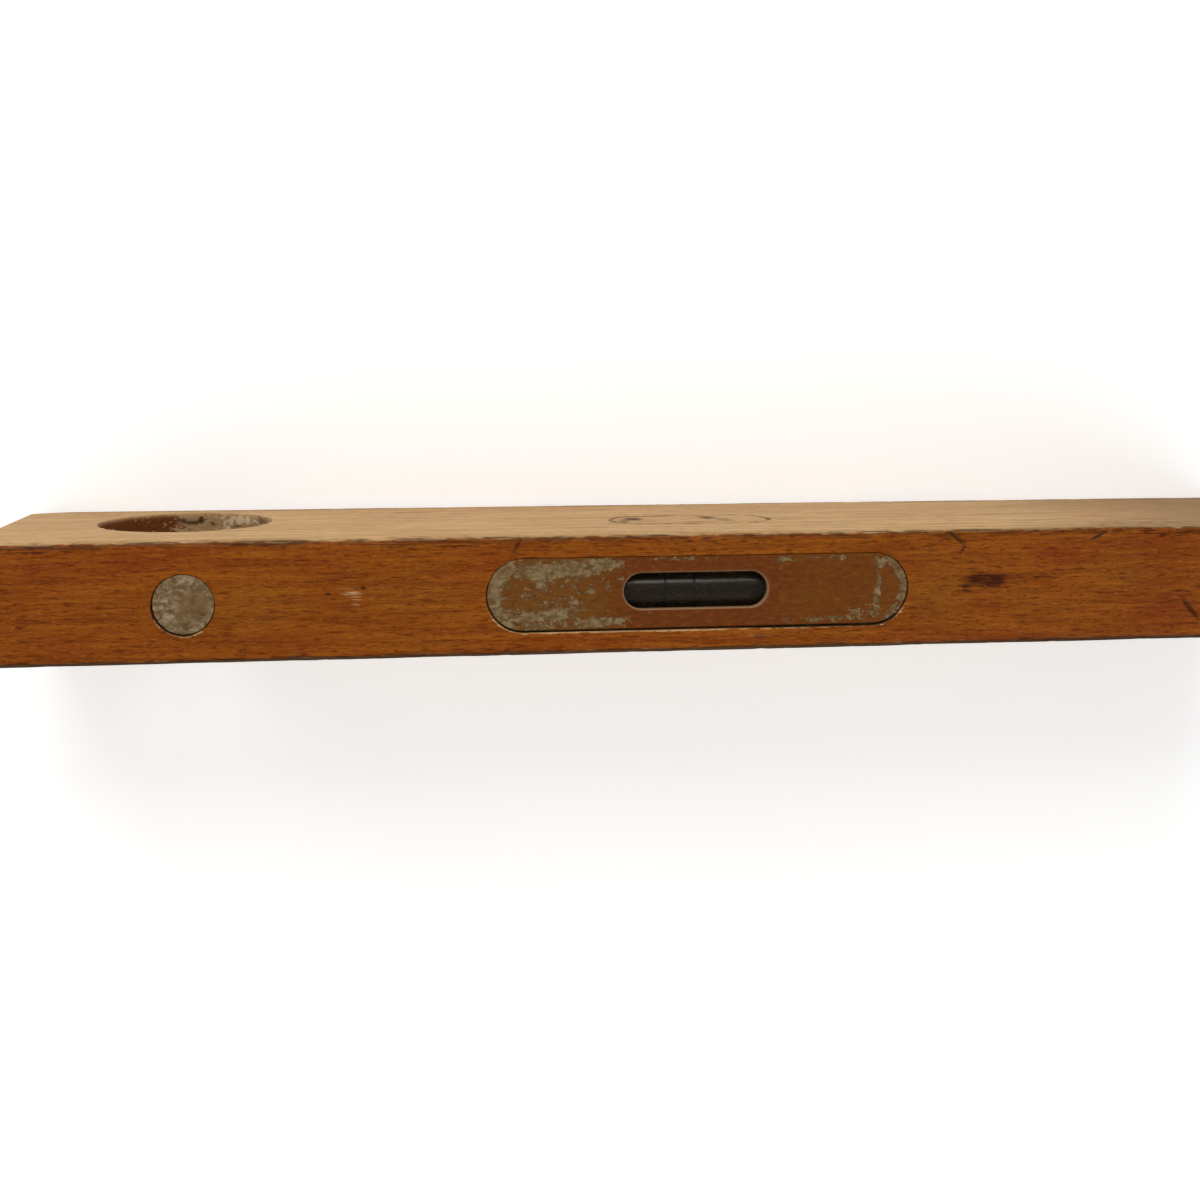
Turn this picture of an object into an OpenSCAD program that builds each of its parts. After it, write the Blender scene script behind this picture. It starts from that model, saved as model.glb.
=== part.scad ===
// Wooden spirit level: a beech stock with a long vial under an aluminium cover
// plate in its top edge, and a plumb vial that crosses a round sight hole.
// X runs along the stock, Y through its thickness and +Z up out of its top edge.
// The origin is the middle of the working face, the underside that is laid on the work.

/* [Stock] */
// Length of the stock
stock_length = 300; // [280:5:340]
// Thickness of the stock, across the narrow edges
stock_thickness = 26; // [25:0.5:30]
// Height of the stock, from the working face to the top edge
stock_height = 60; // [58:1:66]
// Radius of the worn long edges
edge_radius = 1.6; // [0.8:0.2:2.4]

/* [Cover plate] */
// Length of the cover plate, with round ends
plate_length = 91.5; // [88:0.5:96]
// Width of the cover plate
plate_width = 15.5; // [15:0.1:16]
// Thickness of the cover plate
plate_thickness = 1.5; // [1.2:0.1:1.8]
// Length of the window in the cover plate
window_length = 31.3; // [27:0.1:34]
// Width of the window in the cover plate
window_width = 7.8; // [6:0.1:9]

/* [Level vial] */
// Length of the glass body of the level vial, without its sealing tip
level_vial_length = 56; // [52:1:58]
// Outer diameter of the level vial
level_vial_diameter = 11; // [10:0.1:11.4]
// How far the level vial is bedded from the middle of the window, along X
level_vial_offset = 3.2; // [0:0.1:3.6]
// Distance between the two index lines
line_spacing = 6.4; // [6:0.1:9]

/* [Plumb vial] */
// Place of the sight hole's centre, along X
sight_hole_place = 110.5; // [100:0.5:114]
// Diameter of the sight hole
sight_hole_diameter = 37.4; // [34:0.1:38]
// Depth of the sight hole's centre below the top edge
sight_hole_depth = 33.3; // [32:0.1:34]
// How far the plumb vial's bore misses the middle of the sight hole, along X
bore_offset = 3.5; // [0:0.5:5]
// Diameter of the bore that the plumb vial is let into
bore_diameter = 11; // [10.6:0.1:11.4]
// Outer diameter of the plumb vial
plumb_vial_diameter = 9; // [8.4:0.1:9.2]
// Diameter of the disc that closes the bore
disc_diameter = 12.5; // [12.2:0.1:13]

/* [Bubbles] */
// Diameter of both bubbles
bubble_diameter = 4.4; // [3.6:0.1:4.6]
// Length of both bubbles
bubble_length = 6; // [5.4:0.1:6.2]

/* [Hidden] */

$fn = 96;

// Clearance between pieces that are let into each other
fit_gap = 0.3;
// Clearance of plaster around the glass that it was cast on, and in its hole
cast_gap = 0.05;
// Extra length of a cutting tool past the surface that it cuts
past = 1;

// Cover plate, its recess and the mortise under it, let in a little off the middle by hand
plate_place = [-1, -0.2];
window_place = [0, -0.5];
recess_depth = plate_thickness + 0.1;
plate_underside = stock_height - plate_thickness;
recess_floor = stock_height - recess_depth;
spike_diameter = 1.4;
spike_length = 9;
spike_spacing = plate_length - 12;
mortise_length = level_vial_length + 12;
mortise_width = level_vial_diameter + 1.4;
mortise_floor = recess_floor - level_vial_diameter - 2.4;

// Both vials, with the length of the drawn tip that seals each
glass_wall = 0.9;
tip_radius = 1;
tip_length = 2;

// Level vial
level_vial_radius = level_vial_diameter / 2;
level_vial_axis = recess_floor - 0.4 - level_vial_radius;
level_cavity_radius = level_vial_radius - glass_wall;
level_cavity_length = level_vial_length - 2 * glass_wall;
bed_inner_end = window_length / 2 + 4;

// Bubbles, and the free space that they float along
bubble_radius = bubble_diameter / 2;
bubble_clearance = 0.3;
level_bubble_rise = level_cavity_radius - bubble_radius - 0.2;
level_bubble_travel = 20;

// Sight hole and plumb bore
sight_hole_height = stock_height - sight_hole_depth;
bore_place = [sight_hole_place - bore_offset, 0.4];

// Plumb vial, held by its two ends in the wood above and below the sight hole
plumb_vial_radius = plumb_vial_diameter / 2;
plumb_vial_foot = sight_hole_height - sight_hole_diameter / 2 - 2.5;
plumb_vial_length = stock_height - 7 - plumb_vial_foot;
plumb_cavity_radius = plumb_vial_radius - glass_wall;
plumb_cavity_length = plumb_vial_length - 2 * glass_wall;
plumb_bubble_travel = plumb_cavity_length - bubble_length - 3;
bore_floor = plumb_vial_foot - 1;

// Disc that closes the plumb bore, and the clearance across its seat
disc_thickness = 1.2;
disc_seat_gap = 0.3;

// Index lines, painted round the glass
line_width = 0.5;
line_thickness = 0.12;

// Impressed frame on the broad side
frame_place = -3;
frame_height = stock_height - 24.5;
frame_length = 37.4;
frame_width = 16.8;
frame_line = 0.9;
frame_depth = 0.3;

// A flat shape with half-round ends, long along X
module obround(length, width) {
    square([length - width, width], center = true);
    for (side = [-1, 1])
        translate([side * (length - width) / 2, 0]) circle(d = width);
}

// A rectangle with round corners, centred on the origin
module rounded_rectangle(length, width, radius) {
    square([length - 2 * radius, width], center = true);
    square([length, width - 2 * radius], center = true);
    for (across = [-1, 1], along = [-1, 1])
        translate([across * (length / 2 - radius), along * (width / 2 - radius)])
            circle(r = radius);
}

// A rod with half-round ends along Z, centred on the origin
module capsule(length, radius) {
    cylinder(h = length - 2 * radius, r = radius, center = true);
    for (end = [-1, 1])
        translate([0, 0, end * (length / 2 - radius)]) sphere(r = radius);
}

// The outside of a sealed glass vial along Z, with its drawn tip at +Z
module vial_outline(length, radius) {
    capsule(length, radius);
    translate([0, 0, length / 2 - tip_radius]) cylinder(h = tip_length, r = tip_radius);
    translate([0, 0, length / 2 + tip_length - tip_radius]) sphere(r = tip_radius);
}

// The glass of a sealed vial along Z
module sealed_vial(length, radius, wall) {
    difference() {
        vial_outline(length, radius);
        capsule(length - 2 * wall, radius - wall);
    }
}

// Two painted rings round a vial along Z
module index_rings(radius) {
    for (side = [-1, 1])
        translate([0, 0, side * line_spacing / 2 - line_width / 2])
            difference() {
                cylinder(h = line_width, r = radius + line_thickness);
                translate([0, 0, -past]) cylinder(h = line_width + 2 * past, r = radius);
            }
}

// Puts what is drawn along Z at the level vial's place, lying along X
module at_level_vial() {
    translate([level_vial_offset, 0, level_vial_axis]) rotate([0, 90, 0]) children();
}

// Puts what is drawn along Z at the middle of the plumb vial
module at_plumb_vial() {
    translate([bore_place.x, bore_place.y, plumb_vial_foot + plumb_vial_length / 2]) children();
}

// The solid beech bar, before anything is cut in it
module bar() {
    rotate([90, 0, 90])
        linear_extrude(stock_length, center = true)
            translate([0, stock_height / 2])
                rounded_rectangle(stock_thickness, stock_height, edge_radius);
}

// The blank impressed frame on the broad side
module impressed_frame() {
    translate([frame_place, -stock_thickness / 2 + frame_depth, frame_height])
        rotate([90, 0, 0])
            linear_extrude(frame_depth + past)
                difference() {
                    obround(frame_length, frame_width);
                    obround(frame_length - 2 * frame_line, frame_width - 2 * frame_line);
                }
}

// The space of the round hole through both broad sides
module sight_hole() {
    translate([sight_hole_place, 0, sight_hole_height])
        rotate([90, 0, 0])
            cylinder(h = stock_thickness + 2 * past, d = sight_hole_diameter, center = true);
}

// The stock, with its recess, mortise, plumb bore and sight hole
module stock() {
    color("peru")
        difference() {
            bar();
            translate([plate_place.x, plate_place.y, recess_floor])
                linear_extrude(recess_depth + past)
                    obround(plate_length + 2 * fit_gap, plate_width + 2 * fit_gap);
            translate([0, 0, mortise_floor])
                linear_extrude(stock_height - mortise_floor)
                    obround(mortise_length, mortise_width);
            plate_spikes(stock_height);
            translate([bore_place.x, bore_place.y, bore_floor])
                cylinder(h = stock_height, d = bore_diameter);
            translate([bore_place.x, bore_place.y, stock_height - disc_thickness])
                cylinder(h = disc_thickness + past, d = disc_diameter + disc_seat_gap);
            sight_hole();
            impressed_frame();
        }
}

// The aluminium plate over the level vial, with its window
module cover_plate() {
    color("darkgoldenrod")
        translate([0, 0, plate_underside])
            linear_extrude(plate_thickness)
                difference() {
                    translate(plate_place) obround(plate_length, plate_width);
                    translate(window_place) obround(window_length, window_width);
                }
}

// Two headless spikes that stand down from a height, one at each end of the plate
module plate_spikes(height) {
    for (side = [-1, 1])
        translate([
            plate_place.x + side * spike_spacing / 2,
            plate_place.y,
            plate_underside - spike_length
        ])
            cylinder(h = spike_length + height - plate_underside, d = spike_diameter);
}

// The spikes under the plate that hold it in the wood
module cover_plate_spikes() {
    color("gray") plate_spikes(plate_underside);
}

module level_vial_glass() {
    color("lightcyan", 0.4) at_level_vial() sealed_vial(level_vial_length, level_vial_radius, glass_wall);
}

// The liquid, with the groove along its top that the bubble floats in
module level_vial_liquid() {
    color("darkolivegreen")
        at_level_vial()
            difference() {
                capsule(level_cavity_length - 2 * cast_gap, level_cavity_radius - cast_gap);
                translate([-level_bubble_rise, 0, 0])
                    capsule(
                        2 * level_bubble_travel + bubble_length + 2 * bubble_clearance,
                        bubble_radius + bubble_clearance
                    );
            }
}

module level_vial_bubble() {
    color("white")
        at_level_vial()
            translate([-level_bubble_rise, 0, 0]) capsule(bubble_length, bubble_radius);
}

module level_vial_index_lines() {
    color("black") at_level_vial() index_rings(level_vial_radius);
}

// One plaster bed in an end of the mortise, cast round the end of the level vial
module level_vial_bed(side) {
    difference() {
        translate([0, 0, mortise_floor + cast_gap])
            linear_extrude(recess_floor - mortise_floor - 2 * cast_gap)
                intersection() {
                    obround(mortise_length - 2 * cast_gap, mortise_width - 2 * cast_gap);
                    translate([side * (bed_inner_end + stock_length / 2), 0])
                        square([stock_length, stock_thickness], center = true);
                }
        at_level_vial() vial_outline(level_vial_length + 2 * cast_gap, level_vial_radius + cast_gap);
    }
}

module level_vial_bed_plumb_end() {
    color("gainsboro") level_vial_bed(1);
}

module level_vial_bed_plain_end() {
    color("gainsboro") level_vial_bed(-1);
}

module plumb_vial_glass() {
    color("lightcyan", 0.4) at_plumb_vial() sealed_vial(plumb_vial_length, plumb_vial_radius, glass_wall);
}

// The liquid, with the channel up its middle that the bubble rises in
module plumb_vial_liquid() {
    color("darkolivegreen")
        at_plumb_vial()
            difference() {
                capsule(plumb_cavity_length - 2 * cast_gap, plumb_cavity_radius - cast_gap);
                plumb_bubble_channel();
            }
}

module plumb_bubble_channel() {
    capsule(
        plumb_bubble_travel + bubble_length + 2 * bubble_clearance,
        bubble_radius + bubble_clearance
    );
}

// The bubble where it rests with the level lying flat: at the top of its channel
module plumb_vial_bubble() {
    color("white")
        at_plumb_vial()
            translate([0, 0, plumb_bubble_travel / 2]) capsule(bubble_length, bubble_radius);
}

module plumb_vial_index_lines() {
    color("black")
        translate([bore_place.x, bore_place.y, sight_hole_height]) index_rings(plumb_vial_radius);
}

// A plaster bed in the plumb bore between two heights, cast round the glass and
// cut off flush with the wall of the sight hole
module plumb_vial_bed(low, high) {
    difference() {
        translate([bore_place.x, bore_place.y, low])
            cylinder(h = high - low, d = bore_diameter - 2 * cast_gap);
        at_plumb_vial() vial_outline(plumb_vial_length + 2 * cast_gap, plumb_vial_radius + cast_gap);
        sight_hole();
    }
}

module plumb_vial_bed_top() {
    color("gainsboro")
        plumb_vial_bed(sight_hole_height, stock_height - disc_thickness - cast_gap);
}

module plumb_vial_bed_bottom() {
    color("gainsboro") plumb_vial_bed(bore_floor + cast_gap, sight_hole_height);
}

// The aluminium disc that closes the plumb bore
module plumb_bore_disc() {
    color("silver")
        translate([bore_place.x, bore_place.y, stock_height - disc_thickness])
            cylinder(h = disc_thickness, d = disc_diameter);
}

stock();
cover_plate();
cover_plate_spikes();
level_vial_glass();
level_vial_liquid();
level_vial_bubble();
level_vial_index_lines();
level_vial_bed_plumb_end();
level_vial_bed_plain_end();
plumb_vial_glass();
plumb_vial_liquid();
plumb_vial_bubble();
plumb_vial_index_lines();
plumb_vial_bed_top();
plumb_vial_bed_bottom();
plumb_bore_disc();
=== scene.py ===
"""Looks of a worn beech spirit level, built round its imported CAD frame.

X runs along the stock, Y through its thickness and Z up out of the edge that holds
the cover plate. Every length is in metres, written as a count of millimetres.
"""

import math
from collections import namedtuple

import bmesh
import bpy
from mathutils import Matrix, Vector, noise


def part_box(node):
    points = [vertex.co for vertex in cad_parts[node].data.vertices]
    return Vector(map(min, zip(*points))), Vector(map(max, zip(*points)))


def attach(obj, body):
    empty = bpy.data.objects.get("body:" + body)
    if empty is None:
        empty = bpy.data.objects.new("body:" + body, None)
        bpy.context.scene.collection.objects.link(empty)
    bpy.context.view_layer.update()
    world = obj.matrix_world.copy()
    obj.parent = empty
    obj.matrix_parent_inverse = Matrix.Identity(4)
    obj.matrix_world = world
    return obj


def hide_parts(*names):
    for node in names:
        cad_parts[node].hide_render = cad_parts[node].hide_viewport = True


MM = 0.001

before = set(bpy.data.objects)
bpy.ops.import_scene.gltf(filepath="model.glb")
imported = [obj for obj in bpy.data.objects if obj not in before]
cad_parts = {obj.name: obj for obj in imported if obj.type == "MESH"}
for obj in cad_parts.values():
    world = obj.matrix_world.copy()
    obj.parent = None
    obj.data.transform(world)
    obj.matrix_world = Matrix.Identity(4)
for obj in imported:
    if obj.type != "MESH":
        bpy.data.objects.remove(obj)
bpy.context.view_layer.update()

# ---------------- places and sizes

STOCK_LOW, STOCK_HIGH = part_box("stock")
PLATE_LOW, PLATE_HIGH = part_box("cover_plate")
DISC_LOW, DISC_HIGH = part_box("plumb_bore_disc")
TOP = STOCK_HIGH.z
FRONT = STOCK_LOW.y
MIDDLE_HEIGHT = TOP / 2
HALF_LENGTH_MM = STOCK_HIGH.x / MM
PLATE_CENTRE = (PLATE_LOW + PLATE_HIGH) / 2
PLATE_SIZE = PLATE_HIGH - PLATE_LOW
DISC_CENTRE = (DISC_LOW + DISC_HIGH) / 2
DISC_RADIUS = (DISC_HIGH.x - DISC_LOW.x) / 2

EDGE_RADIUS = 1.6 * MM
WINDOW_CENTRE = Vector((0, -0.5 * MM))
WINDOW_LENGTH = 31.3 * MM
WINDOW_WIDTH = 7.8 * MM
RECESS_FLOOR = TOP - 1.6 * MM
MORTISE_LENGTH = 68 * MM
MORTISE_WIDTH = 12.4 * MM
MORTISE_FLOOR = 45 * MM
BORE_RADIUS = 5.5 * MM
BORE_FLOOR = 4.5 * MM
SEAT_RADIUS = DISC_RADIUS + 0.15 * MM
SIGHT_HOLE = Vector((110.5 * MM, 0, 26.7 * MM))
SIGHT_HOLE_RADIUS = 18.7 * MM
STAMP_CENTRE = Vector((-3 * MM, 35.5 * MM))
STAMP_LENGTH = 37.4 * MM
STAMP_WIDTH = 16.8 * MM
STAMP_LINE = 0.9 * MM
STAMP_DEPTH = 0.3 * MM
GLASS_WALL = 0.9 * MM
VIAL_TIP = 2 * MM

# ---------------- camera and light

CAMERA_PLACE = Vector((60.7 * MM, -51.2 * MM, TOP + 311.7 * MM))
CAMERA_AIM = Vector((20.8 * MM, 1.2 * MM, TOP))
CAMERA_LENS = 45


def look_at(obj, aim, up):
    """Turns a camera or a light at obj.location towards aim, with up at the top of its view."""
    back = (obj.location - aim).normalized()
    side = up.cross(back).normalized()
    top = back.cross(side)
    turn = obj.matrix_world.to_3x3()
    for row in range(3):
        turn[row][0], turn[row][1], turn[row][2] = side[row], top[row], back[row]
    obj.rotation_mode = "QUATERNION"
    obj.rotation_quaternion = turn.to_quaternion()


def make_camera():
    camera = bpy.data.objects.new("camera", bpy.data.cameras.new("camera"))
    bpy.context.scene.collection.objects.link(camera)
    camera.data.sensor_width = 36
    camera.data.lens = CAMERA_LENS
    camera.data.clip_start = 10 * MM
    camera.location = CAMERA_PLACE
    look_at(camera, CAMERA_AIM, Vector((0, -1, 0)))
    bpy.context.scene.camera = camera


def softbox(name, place, size, power, colour):
    """A square area light at place, turned to the middle of the stock."""
    light = bpy.data.lights.new(name, "AREA")
    light.shape = "SQUARE"
    light.size = size
    light.energy = power
    light.color = colour
    lamp = bpy.data.objects.new(name, light)
    bpy.context.scene.collection.objects.link(lamp)
    lamp.location = place
    look_at(lamp, Vector((0, 0, MIDDLE_HEIGHT)), Vector((0, 0.1, 1)).normalized())


def make_world():
    """A pale room: bright to look at, softer as a light, and dim in reflections."""
    world = bpy.data.worlds.new("room")
    world.use_nodes = True
    bpy.context.scene.world = world
    tree = world.node_tree
    tree.nodes.clear()
    path = tree.nodes.new("ShaderNodeLightPath")

    def background(brightness):
        made = tree.nodes.new("ShaderNodeBackground")
        made.inputs["Color"].default_value = (brightness, brightness, brightness, 1)
        return made.outputs["Background"]

    def for_rays(kind, others, these):
        mixer = tree.nodes.new("ShaderNodeMixShader")
        tree.links.new(path.outputs[kind], mixer.inputs["Fac"])
        tree.links.new(others, mixer.inputs[1])
        tree.links.new(these, mixer.inputs[2])
        return mixer.outputs["Shader"]

    lighting = for_rays("Is Glossy Ray", background(0.45), background(0.05))
    room = for_rays("Is Camera Ray", lighting, background(0.76))
    output = tree.nodes.new("ShaderNodeOutputWorld")
    tree.links.new(room, output.inputs["Surface"])


def make_studio():
    make_world()
    softbox("key", Vector((0.15, -0.95, 0.75)), 0.9, 8.8, (1.0, 0.985, 0.965))
    softbox("fill", Vector((-0.9, 0.7, 0.8)), 0.9, 4.3, (0.97, 0.98, 1.0))
    softbox("side", Vector((1.0, 0.45, 0.7)), 0.8, 3.3, (1.0, 0.99, 0.97))
    bpy.context.scene.view_settings.view_transform = "Standard"


# ---------------- mesh helpers


def fractal(point, size, seed=0):
    """Smooth noise from -1 to 1 with features of about that size."""
    shifted = Vector(point) / size + Vector((seed * 7.3, seed * 3.1, seed * 5.7))
    return noise.fractal(shifted, 0.9, 2.0, 3) / 1.3


def smoothstep(low, high, value):
    """0 below low, 1 above high, smooth between. low may be above high, for a falling step."""
    share = min(1.0, max(0.0, (value - low) / (high - low)))
    return share * share * (3 - 2 * share)


def mesh_object(name, points, faces):
    mesh = bpy.data.meshes.new(name)
    mesh.from_pydata([tuple(p) for p in points], [], faces)
    obj = bpy.data.objects.new(name, mesh)
    bpy.context.scene.collection.objects.link(obj)
    return obj


def face_outwards(obj):
    shape = bmesh.new()
    shape.from_mesh(obj.data)
    bmesh.ops.recalc_face_normals(shape, faces=shape.faces)
    shape.to_mesh(obj.data)
    shape.free()


def shade_smooth(obj, sharp_degrees=35):
    obj.data.shade_smooth()
    obj.data.set_sharp_from_angle(angle=math.radians(sharp_degrees))


def band(first, second, count):
    """Quads between two rings of count points, from the number of each ring's first point."""
    return [
        (first + i, first + (i + 1) % count, second + (i + 1) % count, second + i)
        for i in range(count)
    ]


def loft(name, rings):
    """A closed solid through rings of points, each with the same number, with flat ends."""
    count = len(rings[0])
    points = [p for ring in rings for p in ring]
    faces = []
    for level in range(len(rings) - 1):
        faces += band(level * count, (level + 1) * count, count)
    faces.append(tuple(reversed(range(count))))
    faces.append(tuple(range((len(rings) - 1) * count, len(rings) * count)))
    obj = mesh_object(name, points, faces)
    face_outwards(obj)
    return obj


def obround_ring(length, width, count, grow=0.0):
    """Points round an obround, evenly spaced by the outline of the ungrown shape, from its +X tip."""
    radius = width / 2
    straight = length - width
    perimeter = 2 * straight + 2 * math.pi * radius
    quarter = math.pi * radius / 2
    ring = []
    for i in range(count):
        s = i / count * perimeter
        if s < quarter or s >= perimeter - quarter:
            angle = (s if s < quarter else s - perimeter) / radius
            centre = straight / 2
        elif s < quarter + straight:
            angle = math.pi / 2
            centre = straight / 2 - (s - quarter)
        elif s < 3 * quarter + straight:
            angle = (s - straight) / radius
            centre = -straight / 2
        else:
            angle = -math.pi / 2
            centre = -straight / 2 + (s - 3 * quarter - straight)
        reach = radius + grow
        ring.append(Vector((centre + reach * math.cos(angle), reach * math.sin(angle))))
    return ring


def obround_distance(point, centre, length, width):
    """Signed distance of a flat point from an obround's outline, negative inside."""
    along = max(0.0, abs(point.x - centre.x) - (length - width) / 2)
    return math.hypot(along, point.y - centre.y) - width / 2


def shares(count):
    """Evenly spaced numbers from 0 to 1."""
    return [i / (count - 1) for i in range(count)]


# ---------------- the stock

TOP_STEP = 0.35 * MM
FRONT_STEP = 0.5 * MM
BACK_STEP = 0.9 * MM
ARRIS_STEPS = 8
STATION_STEP = 0.5 * MM
CAP_RINGS = 12
END_ROUNDING = 0.5 * MM
PLUMB_HEEL_WEAR = 3.2 * MM
PLAIN_HEEL_WEAR = 0.8 * MM


def at(x, y, z):
    """A place near an arris or on a broad side, from millimetres."""
    return Vector((x, y, z)) * MM


def on_top(x, y):
    """A place on the top edge, from millimetres."""
    return Vector((x * MM, y * MM, TOP))


Dent = namedtuple("Dent", "place reach across turn depth")

# Dents, cracks and chips: place on the stock, reach along X and across it in mm, turn in
# degrees about the face's normal, and depth in mm
DENT_ROWS = [
    (at(136, -12.9, 59.6), 6.0, 0.5, 0, 0.55),
    (at(131, -12.7, 59.8), 2.5, 0.4, 0, 0.35),
    (at(121, -12.9, 59.8), 1.6, 0.4, 0, 0.3),
    (at(104, -12.9, 59.7), 3.0, 0.5, 0, 0.4),
    (at(98, -12.8, 59.8), 1.4, 0.4, 0, 0.3),
    (at(66, -12.8, 59.8), 4.0, 0.4, 0, 0.25),
    (at(25, -12.7, 59.9), 1.5, 0.4, 0, 0.35),
    (at(2, -12.8, 59.8), 3.5, 0.4, 0, 0.3),
    (at(-34, -12.9, 59.8), 2.2, 0.4, 0, 0.25),
    (at(-72, -12.9, 59.8), 5.0, 0.4, 0, 0.2),
    (on_top(38.2, -10.8), 2.2, 0.42, 60, 0.3),
    (on_top(-57.3, -11), 3.4, 0.52, -36, 0.4),
    (on_top(-59, -8.3), 1.3, 0.42, 60, 0.3),
    (on_top(-90.4, -11), 3.2, 0.46, 30, 0.35),
    (on_top(-112.8, 6.2), 3.4, 0.6, -48, 0.4),
    (on_top(70.4, -2.2), 0.5, 0.5, 0, 0.4),
    (on_top(77.6, -1.3), 0.6, 0.35, 0, 0.3),
    (at(84, 12.6, 59.8), 3.0, 0.5, 0, 0.3),
    (at(-30, 12.8, 59.7), 4.0, 0.5, 0, 0.4),
    (at(-146, 12.5, 59.5), 2.5, 1.2, 0, 0.8),
    (at(-140, -12.8, 0.4), 4.0, 0.7, 0, 0.5),
    (at(60, -13, 12), 5.0, 0.8, 0, 0.2),
    (at(-100, -13, 40), 7.0, 0.6, 0, 0.2),
    (at(20, 13, 22), 6.0, 0.7, 0, 0.25),
    (at(-70, 13, 38), 2.4, 0.8, 0, 0.15),
]
DENTS = [
    Dent(place, reach * MM, across * MM, turn, depth * MM)
    for place, reach, across, turn, depth in DENT_ROWS
]


def spaced(low, high, step):
    """Places from low up to just before high, about step apart."""
    count = max(1, round((high - low) / step))
    return [low + (high - low) * i / count for i in range(count)]


def section():
    """Points and normals round the stock's cross-section in Y and Z, its long edges rounded."""
    half = STOCK_HIGH.y - EDGE_RADIUS
    low, high = EDGE_RADIUS, TOP - EDGE_RADIUS
    corners = [(half, high, 0), (-half, high, 90), (-half, low, 180), (half, low, 270)]
    straights = [
        [((y, TOP), (0, 1)) for y in reversed(spaced(-half, half, TOP_STEP))],
        [((FRONT, z), (-1, 0)) for z in reversed(spaced(low, high, FRONT_STEP))],
        [((y, 0), (0, -1)) for y in spaced(-half, half, BACK_STEP)],
        [((STOCK_HIGH.y, z), (1, 0)) for z in spaced(low, high, BACK_STEP)],
    ]
    found = []
    for (y, z, start), straight in zip(corners, straights):
        for i in range(ARRIS_STEPS + 1):
            angle = math.radians(start + 90 * i / ARRIS_STEPS)
            normal = (math.cos(angle), math.sin(angle))
            found.append(((y + EDGE_RADIUS * normal[0], z + EDGE_RADIUS * normal[1]), normal))
        found += straight[1:]
    return found


def dent_share(point, dent):
    """How far a point is into a dent, from 0 to 1."""
    offset = point - dent.place
    far = 2 * dent.reach + 2 * MM
    if abs(offset.x) > far or abs(offset.y) > far:
        return 0.0
    faces_up = dent.place.z == TOP
    sideways = offset.y if faces_up else offset.z
    away = (offset.z if faces_up else offset.y) / (1.2 * MM)
    angle = math.radians(dent.turn)
    u = (offset.x * math.cos(angle) + sideways * math.sin(angle)) / dent.reach
    v = (sideways * math.cos(angle) - offset.x * math.sin(angle)) / dent.across
    return math.exp(-(u ** 4 + v * v + away * away))


def from_stamp_line(point):
    """How far outside the middle of the impressed frame's line a place on the front is."""
    flat = Vector((point.x, point.z))
    return obround_distance(flat, STAMP_CENTRE, STAMP_LENGTH, STAMP_WIDTH) + STAMP_LINE / 2


def wear_depth(point, arris):
    """How far the surface is worn in at a point; arris is 1 on a long edge and 0 on the flats."""
    depth = 0.03 * MM * (1 + fractal(point, 30 * MM, 1))
    chips = max(0.0, fractal((point.x * 0.35, point.y, point.z), 1.6 * MM, 2) - 0.12)
    rubbed = max(0.0, fractal(point, 22 * MM, 3))
    depth += arris * (0.7 * MM * chips + 0.35 * MM * rubbed)
    depth += sum(dent.depth * dent_share(point, dent) for dent in DENTS)
    if point.y < FRONT + 0.4 * MM:
        depth += STAMP_DEPTH * math.exp(-((from_stamp_line(point) / (0.42 * MM)) ** 4))
    return depth


def arris_share(point):
    """1 on a long edge of the stock, fading to 0 a few millimetres from it."""
    from_edge = max(STOCK_HIGH.y - abs(point.y), MIDDLE_HEIGHT - abs(point.z - MIDDLE_HEIGHT))
    return smoothstep(2.2 * MM, 0.3 * MM, from_edge)


def heel_wear(x):
    """How much of the working face is worn away near each end, where a level gets knocked."""
    plumb_end = smoothstep(134 * MM, 152 * MM, x) ** 2
    plain_end = smoothstep(-142 * MM, -151 * MM, x)
    return PLUMB_HEEL_WEAR * plumb_end + PLAIN_HEEL_WEAR * plain_end


def worn_bar():
    """The worn beech bar before its recesses are cut, as a fine grid that follows its section."""
    outline = section()
    length = STOCK_HIGH.x - STOCK_LOW.x
    stations = round(length / STATION_STEP)
    rings = []
    for k in range(stations + 1):
        x = STOCK_LOW.x + length * k / stations
        end = smoothstep(1.0 * MM, 0.0, min(x - STOCK_LOW.x, STOCK_HIGH.x - x))
        ring = []
        for (y, z), (across, up) in outline:
            point = Vector((x, y, z))
            depth = wear_depth(point, arris_share(point)) + END_ROUNDING * end
            lifted = heel_wear(x) * (1 - z / TOP) ** 3
            ring.append(Vector((x, y - across * depth, z - up * depth + lifted)))
        rings.append(ring)
    for end, edge in ((0, rings[0]), (-1, rings[-1])):
        inward = [
            [Vector((p.x, p.y * share, MIDDLE_HEIGHT + (p.z - MIDDLE_HEIGHT) * share)) for p in edge]
            for share in (1 - (i + 1) / (CAP_RINGS + 1) for i in range(CAP_RINGS))
        ]
        rings = list(reversed(inward)) + rings if end == 0 else rings + inward
    return loft("stock_body", rings)


def flared_cutter(name, length, width, count, levels, place):
    """An obround cutter lofted through levels of (height, growth, roughness), count points round.

    place turns a flat point and a height into a place in the stock.
    """
    rings = []
    for height, grow, rough in levels:
        ring = []
        for flat in obround_ring(length, width, count, grow):
            wobble = rough * fractal((flat.x, flat.y, height), 2.5 * MM, 11)
            outward = flat.normalized() * wobble
            ring.append(place(flat + outward, height))
        rings.append(ring)
    return loft(name, rings)


def upright(centre):
    return lambda flat, height: Vector((centre.x + flat.x, centre.y + flat.y, height))


def through_sides(flat, depth):
    return Vector((SIGHT_HOLE.x + flat.x, depth, SIGHT_HOLE.z + flat.y))


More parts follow.
